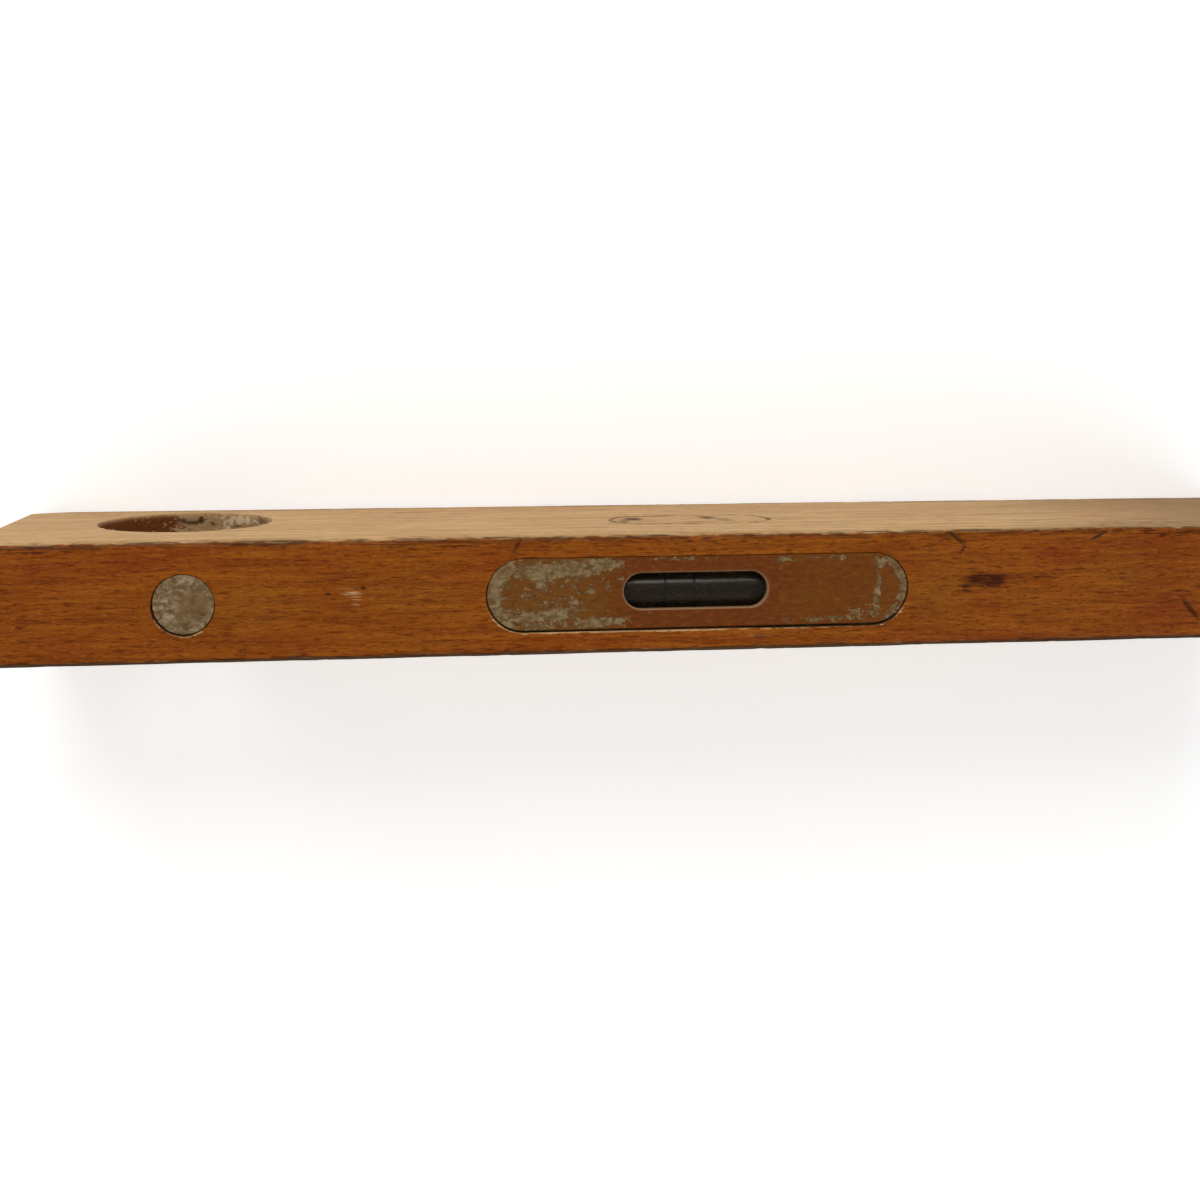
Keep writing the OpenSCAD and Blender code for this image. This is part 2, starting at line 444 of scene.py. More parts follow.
def cut(obj, cutter):
    """Takes the cutter's space out of obj for good."""
    modifier = obj.modifiers.new("cut", "BOOLEAN")
    modifier.object = cutter
    modifier.operation = "DIFFERENCE"
    modifier.solver = "EXACT"
    graph = bpy.context.evaluated_depsgraph_get()
    finished = bpy.data.meshes.new_from_object(obj.evaluated_get(graph))
    obj.modifiers.clear()
    obj.data = finished
    bpy.data.objects.remove(cutter)


def cut_recesses(stock):
    rim = TOP - 0.35 * MM
    lip = (TOP + 1 * MM, 0.4 * MM, 0.4 * MM)
    plate_levels = [
        (RECESS_FLOOR, 0, 0),
        (rim, 0, 0.04 * MM),
        (TOP - 0.12 * MM, 0, 0.08 * MM),
        (TOP, 0.06 * MM, 0.16 * MM),
        lip,
    ]
    seat_levels = [
        (DISC_LOW.z, 0, 0),
        (rim, 0, 0.04 * MM),
        (TOP - 0.1 * MM, 0.06 * MM, 0.1 * MM),
        (TOP, 0.12 * MM, 0.2 * MM),
        lip,
    ]
    mortise_levels = [
        (MORTISE_FLOOR + (TOP - MORTISE_FLOOR) * share, 0, 0.08 * MM) for share in shares(12)
    ]
    bore_levels = [(BORE_FLOOR + (TOP - BORE_FLOOR) * share, 0, 0.06 * MM) for share in shares(40)]
    recess_length = PLATE_SIZE.x + 0.5 * MM
    recess_width = PLATE_SIZE.y + 0.5 * MM
    recess_centre = Vector((PLATE_CENTRE.x, PLATE_CENTRE.y + 0.19 * MM))
    seat_centre = DISC_CENTRE + Vector((0.08 * MM, 0.11 * MM, 0))
    bore = 2 * BORE_RADIUS
    seat = 2 * SEAT_RADIUS
    hole = 2 * SIGHT_HOLE_RADIUS
    middle = Vector((0, 0))
    cutters = [
        ("recess_cutter", recess_length, recess_width, 420, plate_levels, upright(recess_centre)),
        ("mortise_cutter", MORTISE_LENGTH, MORTISE_WIDTH, 240, mortise_levels, upright(middle)),
        ("bore_cutter", bore, bore, 96, bore_levels, upright(DISC_CENTRE)),
        ("seat_cutter", seat, seat, 160, seat_levels, upright(seat_centre)),
        ("sight_hole_cutter", hole, hole, 300, sight_hole_levels(), through_sides),
    ]
    for cutter in cutters:
        cut(stock, flared_cutter(*cutter))


def sight_hole_levels():
    """The sight hole's wall from face to face, its rims rubbed round."""
    half = STOCK_HIGH.y
    levels = []
    for depth in spaced(-half - 1 * MM, half + 1 * MM, 0.5 * MM) + [half + 1 * MM]:
        inside = half - abs(depth)
        grow = 0.55 * MM * smoothstep(0.9 * MM, -0.4 * MM, inside)
        rough = (0.12 + 0.25 * smoothstep(1.2 * MM, 0.0, inside)) * MM
        levels.append((depth, grow, rough))
    return levels


# Marks on a flat surface: centre, reach along X, reach across and strength, all lengths in mm.
# On the top edge and in the sight hole the centre is in X and Y, on the broad sides in X and Z.
STAINS = [
    (-63.8, -1.6, 4.8, 1.5, 1.0),
    (-60.0, 0.4, 1.3, 1.0, 0.8),
    (-66.5, -0.9, 2.4, 1.6, 0.6),
    (-76, -2.0, 8.0, 0.45, 0.6),
    (-104, -11, 9.0, 0.9, 0.6),
    (-108, 9.5, 6.0, 0.8, 0.4),
    (-110, 2.0, 5.0, 0.7, 0.4),
    (-66, 9.2, 4.0, 0.6, 0.35),
    (5, -11.6, 16, 0.8, 0.45),
    (52, -10.8, 12, 0.9, 0.4),
    (134, -11.4, 7, 0.8, 0.7),
]
SCUFFS = [
    (73.5, -1.6, 3.6, 1.3, 0.6),
    (72.0, 0.8, 1.8, 1.6, 0.45),
    (47.2, 4.2, 1.6, 2.4, 0.4),
    (-50.5, -7.0, 2.6, 2.2, 0.35),
    (-9, 9.6, 20, 0.6, 0.45),
]
RED_PATCHES = [
    (113, -9, 12, 2.5, 0.9),
    (136, -6, 10, 4, 0.6),
    (128, 8, 14, 3, 0.6),
    (86, 9, 10, 3, 0.5),
    (80, -8, 9, 2.5, 0.4),
    (20, 10.5, 22, 1.5, 0.5),
    (-60, 11.2, 18, 1.4, 0.8),
    (-82, -7, 8, 2.2, 0.9),
    (-66, 4.5, 6, 2, 0.5),
    (-104, -9.5, 10, 2, 0.7),
    (-106, 6, 9, 4, 0.9),
]
OCHRE_PATCHES = [
    (93, 2, 9, 6, 0.7),
    (60, 2, 11, 7, 0.6),
    (-53, 1, 7, 8, 0.8),
    (-74, 3, 7, 4, 0.4),
    (0, -10.2, 36, 1.2, 0.4),
    (-96, -2, 7, 3, 0.5),
]
SIDE_STAINS = [
    (-104, 55, 24, 3.5, 0.45),
    (-112, 48, 16, 1.2, 0.35),
    (-84.7, 16.9, 3, 1.2, 0.35),
    (-75.7, 13.3, 5, 1.0, 0.4),
    (38.8, 10.4, 14, 1.0, 0.3),
    (60, 3, 60, 1.6, 0.3),
    (-60, 2.5, 70, 1.6, 0.35),
]
FRAME_SMUDGES = [
    (9.6, 33.5, 2.4, 3.0, 1.0),
    (12.6, 38, 1.5, 2.2, 0.8),
    (-7.6, 32.5, 2.4, 3.2, 1.0),
    (-11, 37.5, 2.2, 2.2, 0.8),
    (-2, 40.5, 5, 1.2, 0.6),
    (1, 27.6, 14, 0.9, 0.7),
]
HOLE_PLASTER = [
    (100.2, -11.6, 3.6, 1.4, 0.55),
    (104, -9.2, 3, 0.6, 0.3),
]
# Dark marks in the sight hole: the first, the dark blob, and the last, round the plumb bore, are painted
# shade for the bore's dark opening; the others are dark spots
HOLE_SHADE_AND_STAINS = [
    (111.4, -10.7, 2.2, 0.55, 1.0),
    (109.6, -11.6, 0.8, 0.9, 0.9),
    (113.8, -11.4, 1.0, 0.6, 0.8),
    (100.9, -9.9, 1.4, 0.5, 0.7),
    (94.6, -12.0, 1.0, 0.8, 0.7),
    (107, 0.4, 6.4, 6.4, 0.5),
]


def spot_strength(along, across, spots):
    """The summed strength of the marks at a place on their surface, up to 1."""
    total = 0.0
    for x, y, reach, width, strength in spots:
        u = (along / MM - x) / reach
        v = (across / MM - y) / width
        total += strength * math.exp(-(u * u + v * v))
    return min(1.0, total)


def paint(obj, name, value_at):
    """Stores value_at(point) on every vertex, for the materials to read."""
    layer = obj.data.attributes.new(name, "FLOAT", "POINT")
    layer.data.foreach_set("value", [value_at(v.co) for v in obj.data.vertices])


def near_hole_wall(point):
    """1 at the radius of the sight hole's wall, 0 from 0.9 mm away."""
    from_wall = math.hypot(point.x - SIGHT_HOLE.x, point.z - SIGHT_HOLE.z) - SIGHT_HOLE_RADIUS
    return smoothstep(0.9 * MM, 0.5 * MM, abs(from_wall))


def cut_share(point):
    """1 on a surface that was cut inside the stock, 0 on its outside."""
    depth = min(
        STOCK_HIGH.y - abs(point.y),
        MIDDLE_HEIGHT - abs(point.z - MIDDLE_HEIGHT),
        STOCK_HIGH.x - abs(point.x),
    )
    inside = smoothstep(0.7 * MM, 1.1 * MM, depth)
    return max(inside, near_hole_wall(point) * smoothstep(0.3 * MM, 0.6 * MM, depth))


def on_top_edge(point):
    return smoothstep(1.0 * MM, 0.35 * MM, TOP - point.z)


def on_broad_side(point):
    return smoothstep(1.2 * MM, 0.6 * MM, STOCK_HIGH.y - abs(point.y))


def on_underside(point):
    return smoothstep(1.4 * MM, 0.6 * MM, point.z)


def plate_gap(point):
    """How far outside the plate a place on the top edge is."""
    return obround_distance(Vector((point.x, point.y)), PLATE_CENTRE.xy, PLATE_SIZE.x, PLATE_SIZE.y)


def disc_gap(point):
    """How far outside the disc a place on the top edge is."""
    return (point.xy - DISC_CENTRE.xy).length - DISC_RADIUS


def below_disc(point, toward):
    """1 on the side of the disc that toward points to, 0 on the other."""
    return smoothstep(0.35, 0.8, (point.xy - DISC_CENTRE.xy).normalized().dot(toward))


def lit_rim_share(point):
    """Lighter rims of the plate's recess and the disc's seat, on the side away from the front: a painted
    highlight where their walls face the key light, drawn in the bare wood colour.
    """
    ragged = 0.2 * MM * fractal(point, 2.5 * MM, 6)
    below_plate = smoothstep(1.5 * MM, 5.5 * MM, point.y - PLATE_CENTRE.y)
    plate_rim = below_plate * smoothstep(0.85 * MM, 0.6 * MM, plate_gap(point) + ragged)
    disc_rim = below_disc(point, Vector((0.2, 0.98)))
    disc_rim *= smoothstep(0.75 * MM, 0.55 * MM, disc_gap(point) + ragged)
    return 0.62 * max(plate_rim, disc_rim) * on_top_edge(point)


def gap_shade(point):
    """Painted shade on the wood at the widest part of the gaps round the plate and the disc, on the side
    where the gaps look darkest.
    """
    ragged = 0.1 * MM * fractal(point, 1.5 * MM, 17)
    by_disc = below_disc(point, Vector((0.62, 0.78)))
    by_disc *= smoothstep(0.5 * MM, 0.36 * MM, disc_gap(point) + ragged)
    by_plate = smoothstep(5 * MM, 6.5 * MM, point.y - PLATE_CENTRE.y)
    by_plate *= smoothstep(6 * MM, -22 * MM, point.x)
    by_plate *= smoothstep(0.62 * MM, 0.5 * MM, plate_gap(point) + ragged)
    return max(by_disc, by_plate) * on_top_edge(point)


def bare_and_lit_rim_share(point):
    """Where the varnish is gone: the broad sides, the underside and the scuffs; also the painted
    highlight on the rims of the plate's recess and the disc's seat, drawn as bare wood.
    """
    ragged = 0.35 * MM * fractal(point, 3 * MM, 5)
    side = smoothstep(1.25 * MM, 0.35 * MM, STOCK_HIGH.y - abs(point.y) + ragged)
    scuffed = on_top_edge(point) * spot_strength(point.x, point.y, SCUFFS)
    return max(side, on_underside(point), lit_rim_share(point), 0.7 * scuffed)


def arris_darkening(point):
    """Darker along the top edge: a thin line and a soft band in front, and behind a broad line of
    painted shade where the back arris turns away from the light.
    """
    waver = fractal((point.x, 0, 0), 5 * MM, 7)
    from_front = point.y - FRONT
    from_back = STOCK_HIGH.y - point.y
    line = math.exp(-(((from_front - (0.5 + 0.25 * waver) * MM) / (0.32 * MM)) ** 2))
    line *= 0.55 + 0.35 * smoothstep(-0.6, 0.3, fractal((point.x, 0, 0), 9 * MM, 8))
    band = 0.56 * smoothstep(2.8 * MM, 0.8 * MM, from_front + 1.1 * MM * fractal(point, 9 * MM, 9))
    front = max(line, band) * on_top_edge(point)
    # painted shade: the broad line along the back arris stands in for the shade where the arris turns
    # away from the light
    behind = smoothstep(1.25 * MM, 0.75 * MM, from_back + 0.2 * MM * waver)
    return max(front, behind * smoothstep(1.9 * MM, 1.1 * MM, TOP - point.z))


def dirt_and_shade_share(point):
    """Darker in the dents and the impressed frame, along the arrises and in the sight hole; painted
    shade along the back arris, in the plate and disc gaps and at the plumb bore's opening in the sight
    hole.
    """
    dents = max(dent_share(point, dent) * min(1, dent.depth / (0.3 * MM)) for dent in DENTS)
    stamp = math.exp(-((from_stamp_line(point) / (0.6 * MM)) ** 2)) * (point.y < FRONT + 0.6 * MM)
    stamp *= 0.5 + 0.7 * smoothstep(-0.3, 0.3, fractal(point, 5 * MM, 14))
    hole = cut_share(point) * spot_strength(point.x, point.y, HOLE_SHADE_AND_STAINS)
    return max(dents, arris_darkening(point), gap_shade(point), stamp, hole)


def stain_share(point):
    top = on_top_edge(point) * spot_strength(point.x, point.y, STAINS)
    smudges = spot_strength(point.x, point.z, FRAME_SMUDGES) * (point.y < 0)
    stains = spot_strength(point.x, point.z, SIDE_STAINS)
    return max(top, on_broad_side(point) * max(smudges, stains))


def dull_share(point):
    """Where the bare wood is darker: toward the plain end, along the broad sides' bottom edge, near
    their top edge at the plain end, and on the underside.
    """
    wavy_x = point.x + 16 * MM * fractal(point, 22 * MM, 15)
    wavy_z = point.z + 3 * MM * fractal((point.x, 0, point.z), 20 * MM, 16)
    plain_end = 0.7 * smoothstep(-60 * MM, -145 * MM, wavy_x)
    lower = 0.6 * smoothstep(5 * MM, 1 * MM, wavy_z)
    near_top = 0.5 * smoothstep(54 * MM, 59 * MM, point.z) * smoothstep(-60 * MM, -95 * MM, point.x)
    return max(on_broad_side(point) * max(plain_end, lower, near_top), 0.45 * on_underside(point))


def hole_wall_share(point):
    """1 on the wall of the sight hole."""
    return cut_share(point) * near_hole_wall(point)


def plaster_and_lit_wall_share(point):
    """Pale tan on the wall of the sight hole: on the inner half a painted lit half of the wall, partly
    plaster, and whiter plaster round the vial.
    """
    inner = smoothstep(116.8 * MM, 113.5 * MM, point.x + 1.2 * MM * fractal(point, 4 * MM, 12))
    patchy = 0.42 + 0.2 * fractal(point, 3 * MM, 13)
    white = spot_strength(point.x, point.y, HOLE_PLASTER)
    return hole_wall_share(point) * min(1, inner * patchy + white)


def make_stock():
    stock = worn_bar()
    cut_recesses(stock)
    shade_smooth(stock, 40)
    paint(stock, "cut", cut_share)
    paint(stock, "bare", bare_and_lit_rim_share)
    paint(stock, "dirt_and_shade", dirt_and_shade_share)
    paint(stock, "stain", stain_share)
    paint(stock, "dull", dull_share)
    paint(stock, "wall", hole_wall_share)
    paint(stock, "plaster", plaster_and_lit_wall_share)
    paint(stock, "red", lambda p: on_top_edge(p) * spot_strength(p.x, p.y, RED_PATCHES))
    paint(stock, "ochre", lambda p: on_top_edge(p) * spot_strength(p.x, p.y, OCHRE_PATCHES))
    stock.data.materials.clear()
    stock.data.materials.append(wood_material())
    place_on(stock, "level_body", "stock")


# ---------------- plate and disc


FLAKES = [
    (30, -5.3, 9.5, 1.5, 1.0),
    (20, -6.5, 4, 1.1, 0.9),
    (33.4, -2.4, 1.2, 1.7, 0.75),
    (36.7, -0.4, 0.9, 0.8, 0.6),
    (29.8, 4.2, 2.6, 1.7, 0.85),
    (26.4, 1.2, 0.8, 1.7, 0.65),
    (36, 4.8, 4.5, 1.8, 0.6),
    (20, 6.0, 5.5, 1.0, 0.95),
    (22.8, -0.8, 0.6, 1.0, 0.65),
    (19.1, -2.1, 0.6, 1.1, 0.65),
    (16.5, -3.2, 0.6, 0.5, 0.6),
    (-30, 6.4, 10, 0.8, 0.62),
    (-36.5, 5.0, 3, 1.3, 0.55),
    (-40.3, -2, 0.9, 3.5, 0.62),
    (-39.6, 2.6, 1.0, 2.6, 0.75),
    (-41, -5.9, 2.0, 1.0, 0.75),
    (-18.9, -7.0, 3.6, 0.6, 0.8),
    (-30, -7.0, 6, 0.6, 0.5),
    (3, -7.4, 8, 0.5, 0.6),
    (-24.2, -3.2, 0.5, 0.5, 0.7),
    (-27, -1.0, 0.4, 0.4, 0.5),
]


def plate_flake_share(point):
    """How much of the plate's varnish has flaked off: round its ends and in the patches above."""
    inside = -plate_gap(point)
    plumb_end = smoothstep(37.5 * MM, 41 * MM, point.x) * smoothstep(4.2 * MM, 1.8 * MM, inside)
    plain_end = smoothstep(-40 * MM, -43 * MM, point.x) * smoothstep(2.6 * MM, 1.2 * MM, inside)
    ends = 0.8 * max(plumb_end, plain_end)
    specks = 0.22 * smoothstep(12 * MM, 26 * MM, point.x) + 0.05
    patches = spot_strength(point.x, point.y, FLAKES)
    return min(1.0, max(ends, patches) + specks)


def plate_rim_share(point):
    """1 on the bright broken edge of the window."""
    flat = Vector((point.x, point.y))
    away = obround_distance(flat, WINDOW_CENTRE, WINDOW_LENGTH, WINDOW_WIDTH)
    return smoothstep(0.34 * MM, 0.14 * MM, away)


def make_plate():
    """The plate as rings from its window to its outer edge and back underneath."""
    count = 360
    bevel = 0.28 * MM
    nick = 0.3 * bevel
    inner = [obround_ring(WINDOW_LENGTH, WINDOW_WIDTH, count, grow) for grow in (0, nick, bevel)]
    outer = [obround_ring(PLATE_SIZE.x, PLATE_SIZE.y, count, grow) for grow in (-bevel, -nick, 0)]
    high, low = PLATE_HIGH.z, PLATE_LOW.z
    rim = high - 0.1 * MM

    def lay(ring, centre, height):
        return [Vector((centre.x + p.x, centre.y + p.y, height)) for p in ring]

    window_edge = lay(inner[2], WINDOW_CENTRE, high)
    plate_edge = lay(outer[0], PLATE_CENTRE, high)
    across = []
    for share in shares(64):
        across.append([a.lerp(b, share) for a, b in zip(window_edge, plate_edge)])
    for ring in across:
        for p in ring:
            dished = 0.05 * MM * (1 + fractal(p, 12 * MM, 31))
            pitted = 0.02 * MM * (1 + fractal(p, 1.5 * MM, 32))
            p.z -= dished + pitted
    rings = [
        lay(inner[0], WINDOW_CENTRE, low),
        lay(inner[0], WINDOW_CENTRE, rim - bevel),
        lay(inner[1], WINDOW_CENTRE, rim - nick),
        *across,
        lay(outer[1], PLATE_CENTRE, rim - nick),
        lay(outer[2], PLATE_CENTRE, rim - bevel),
        lay(outer[2], PLATE_CENTRE, low),
    ]
    points = [p for ring in rings for p in ring]
    faces = []
    for level in range(len(rings)):
        faces += band(level * count, (level + 1) % len(rings) * count, count)
    plate = mesh_object("cover_plate_worn", points, faces)
    face_outwards(plate)
    shade_smooth(plate, 50)
    paint(plate, "flake", plate_flake_share)
    paint(plate, "rim", plate_rim_share)
    plate.data.materials.append(plate_material())
    place_on(plate, "level_body", "cover_plate")


def make_disc():
    """The oxidised disc, a little dished and dented, with a broken edge."""
    count = 120
    high, low = DISC_HIGH.z, DISC_LOW.z
    bevel = 0.3 * MM
    edge = [
        (0.02 * DISC_RADIUS, low),
        (DISC_RADIUS, low),
        (DISC_RADIUS, high - bevel),
        (DISC_RADIUS - 0.12 * MM, high - 0.12 * MM),
    ]
    face = [((1 - share) * (DISC_RADIUS - bevel), high - 0.03 * MM) for share in shares(22)[:-1]]
    solid = []
    for level, (radius, height) in enumerate(edge + face):
        ring = []
        for i in range(count):
            angle = 2 * math.pi * i / count
            p = DISC_CENTRE.xy + radius * Vector((math.cos(angle), math.sin(angle)))
            on_face = level >= len(edge)
            sunk = 0.07 * MM * (1 + fractal((p.x, p.y, 0), 3.5 * MM, 41)) if on_face else 0
            ring.append(Vector((p.x, p.y, height - sunk)))
        solid.append(ring)
    disc = loft("bore_disc_worn", solid)
    shade_smooth(disc, 50)
    brown = [(DISC_CENTRE.x / MM - 2.0, DISC_CENTRE.y / MM + 0.4, 3.4, 3.2, 1.0)]
    paint(disc, "brown", lambda p: spot_strength(p.x, p.y, brown))
    disc.data.materials.append(disc_material())
    place_on(disc, "level_body", "plumb_bore_disc")


# ---------------- vials


def lathe(name, profiles, to_place):
    """Closed shells turned from profiles of (place along the axis, radius), ends on the axis."""
    count = 64
    points, faces = [], []
    for profile in profiles:
        first = len(points)
        points.append(to_place(profile[0][0], 0, 0))
        for along, radius in profile[1:-1]:
            for i in range(count):
                angle = 2 * math.pi * i / count
                points.append(to_place(along, radius * math.cos(angle), radius * math.sin(angle)))
        points.append(to_place(profile[-1][0], 0, 0))
        last = len(points) - 1
        for i in range(count):
            after = (i + 1) % count
            faces.append((first, first + 1 + after, first + 1 + i))
            faces.append((last, last - count + i, last - count + after))
        for level in range(len(profile) - 3):
            ring = first + 1 + level * count
            faces += band(ring, ring + count, count)
    obj = mesh_object(name, points, faces)
    face_outwards(obj)
    obj.data.shade_smooth()
    return obj


def round_end(centre, radius, start, stop, count=12):
    """Part of a rod's half-round end, by the angle from its side to its pole, in degrees."""
    angles = [math.radians(start + (stop - start) * share) for share in shares(count)]
    return [(centre + radius * math.sin(angle), radius * math.cos(angle)) for angle in angles]


def straight_part(low, high, radius):
    """Places along a rod's side between low and high, leaving both of them out."""
    return [(low + (high - low) * share, radius) for share in shares(10)[1:-1]]


def rod_profile(low, high, radius):
    """A rod with two half-round ends."""
    foot = round_end(low + radius, radius, -90, 0)
    head = round_end(high - radius, radius, 0, 90)
    return foot + straight_part(low + radius, high - radius, radius) + head


def vial_profile(low, high, radius):
    """The outside of a vial: round at its foot, and drawn out to a small sealed tip at its top."""
    tip_radius = 1.0 * MM
    shoulder = high - VIAL_TIP - radius
    foot = round_end(low + radius, radius, -90, 0)
    body = straight_part(low + radius, shoulder, radius)
    head = round_end(shoulder, radius, 0, 66)
    neck = [(high - 2.1 * MM, 1.35 * MM), (high - 1.6 * MM, 1.05 * MM)]
    tip = round_end(high - tip_radius, tip_radius, 10, 90, 8)
    return foot + body + head + neck + tip


def along_level(axis_height):
    return lambda along, side, up: Vector((along, side, axis_height + up))


def along_plumb(centre):
    return lambda along, side, up: Vector((centre.x + side, centre.y + up, along))


def make_vial(prefix, axis, to_place, radius, glass_finish):
    """Glass and liquid of one vial; axis is 0 for a vial along X and 2 for one along Z."""
    low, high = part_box(prefix + "_glass")
    outer = vial_profile(low[axis], high[axis], radius)
    inside = (low[axis] + GLASS_WALL, high[axis] - VIAL_TIP - GLASS_WALL)
    hollow = rod_profile(inside[0], inside[1], radius - GLASS_WALL)
    glass = lathe(prefix + "_glass_blown", [outer, hollow], to_place)
    glass.data.materials.append(glass_finish)
    place_on(glass, "level_body", prefix + "_glass")
    spill = 0.02 * MM
    filled = rod_profile(inside[0] - spill, inside[1] + spill, radius - GLASS_WALL + spill)
    liquid = lathe(prefix + "_liquid_filled", [filled], to_place)
    liquid.data.materials.append(liquid_material())
    place_on(liquid, "level_body", prefix + "_liquid")


def pressed_bubble(p, centre, half):
    """A point of a unit ball, moved to a long bubble that lies flattened under the glass."""
    flat = 0.62 * half.z
    blunt = 1 - 0.12 * p.x ** 4
    rise = p.z * flat * (0.8 if p.z > 0 else 1.0)
    top = centre.z + half.z - flat
    return Vector((centre.x + p.x * half.x, centre.y + p.y * half.y * blunt, top + rise))


def free_bubble(p, centre, half):
    """A point of a unit ball, moved to an egg-shaped bubble that fills its box."""
    return Vector((centre.x + p.x * half.x, centre.y + p.y * half.y, centre.z + p.z * half.z))


def make_bubble(node, body, shape):
    low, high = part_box(node)
    centre = (low + high) / 2
    half = (high - low) / 2
    ball = bmesh.new()
    bmesh.ops.create_icosphere(ball, subdivisions=5, radius=1)
    for vert in ball.verts:
        vert.co = shape(vert.co, centre, half)
    mesh = bpy.data.meshes.new(node + "_round")
    ball.to_mesh(mesh)
    ball.free()
    bubble = bpy.data.objects.new(node + "_round", mesh)
    bpy.context.scene.collection.objects.link(bubble)
    mesh.shade_smooth()
    mesh.materials.append(bubble_material())
    place_on(bubble, body, node)


def make_vials():
    level_low, level_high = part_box("level_vial_glass")
    plumb_low, plumb_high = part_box("plumb_vial_glass")
    level_axis = (level_low.z + level_high.z) / 2
    plumb_axis = (plumb_low + plumb_high) / 2
    level_radius = (level_high.z - level_low.z) / 2
    plumb_radius = (plumb_high.x - plumb_low.x) / 2
    make_vial("level_vial", 0, along_level(level_axis), level_radius, dusty_glass_material())
    make_vial("plumb_vial", 2, along_plumb(plumb_axis), plumb_radius, clear_glass_material())
    make_bubble("level_vial_bubble", "level_bubble", pressed_bubble)
    make_bubble("plumb_vial_bubble", "plumb_bubble", free_bubble)


# ---------------- materials


class Shader:
    """A material's node tree, built one node a call."""

    def __init__(self, name):
        self.material = bpy.data.materials.new(name)
        self.material.use_nodes = True
        self.tree = self.material.node_tree
        self.tree.nodes.clear()
        self.surface = self.node("ShaderNodeBsdfPrincipled")
        output = self.node("ShaderNodeOutputMaterial")
        self.tree.links.new(self.surface.outputs["BSDF"], output.inputs["Surface"])
        place = self.node("ShaderNodeTexCoord").outputs["Object"]
        self.mm = self.vector("SCALE", place, scale=1 / MM)

    def node(self, kind, **settings):
        made = self.tree.nodes.new(kind)
        for key, value in settings.items():
            setattr(made, key, value)
        return made

    def feed(self, socket, value):
        if isinstance(value, bpy.types.NodeSocket):
            self.tree.links.new(value, socket)
        elif socket.type == "RGBA":
            socket.default_value = (*value, 1)
        else:
            socket.default_value = value

    def set(self, **inputs):
        """Sets or links the surface's own sockets, named with underscores for spaces."""
        for key, value in inputs.items():
            self.feed(self.surface.inputs[key.replace("_", " ")], value)

    def vector(self, operation, a, b=None, scale=None):
        made = self.node("ShaderNodeVectorMath", operation=operation)
        self.feed(made.inputs[0], a)
        if b is not None:
            self.feed(made.inputs[1], b)
        if scale is not None:
            self.feed(made.inputs["Scale"], scale)
        return made.outputs[0]

    def noise(self, per_mm, detail, rough, warp=0.0):
        """Fractal noise with about per_mm features in a millimetre along X, Y and Z."""
        made = self.node("ShaderNodeTexNoise")
        self.feed(made.inputs["Vector"], self.vector("MULTIPLY", self.mm, per_mm))
        made.inputs["Scale"].default_value = 1.0
        made.inputs["Detail"].default_value = detail
        made.inputs["Roughness"].default_value = rough
        made.inputs["Distortion"].default_value = warp
        return made.outputs["Fac"]

    def math(self, operation, a, b=0.0):
        made = self.node("ShaderNodeMath", operation=operation)
        self.feed(made.inputs[0], a)
        self.feed(made.inputs[1], b)
        return made.outputs[0]

    def step(self, value, low, high, bottom=0.0, top=1.0):
        """Smoothly remaps low to high onto bottom to top."""
        made = self.node("ShaderNodeMapRange", interpolation_type="SMOOTHSTEP")
        sockets = ("Value", "From Min", "From Max", "To Min", "To Max")
        for name, number in zip(sockets, (value, low, high, bottom, top)):
            self.feed(made.inputs[name], number)
        return made.outputs["Result"]

    def mix(self, share, a, b):
        made = self.node("ShaderNodeMix", data_type="RGBA")
        self.feed(made.inputs["Factor"], share)
        self.feed(made.inputs[6], a)
        self.feed(made.inputs[7], b)
        return made.outputs[2]

    def painted(self, name):
        """The value that paint() stored under this name."""
        return self.node("ShaderNodeAttribute", attribute_name=name).outputs["Fac"]

    def axis(self, name):
        parts = self.node("ShaderNodeSeparateXYZ")
        self.feed(parts.inputs[0], self.mm)
        return parts.outputs[name]

    def bump(self, height, depth):
        made = self.node("ShaderNodeBump")
        made.inputs["Distance"].default_value = depth
        self.feed(made.inputs["Height"], height)
        self.set(Normal=made.outputs["Normal"])


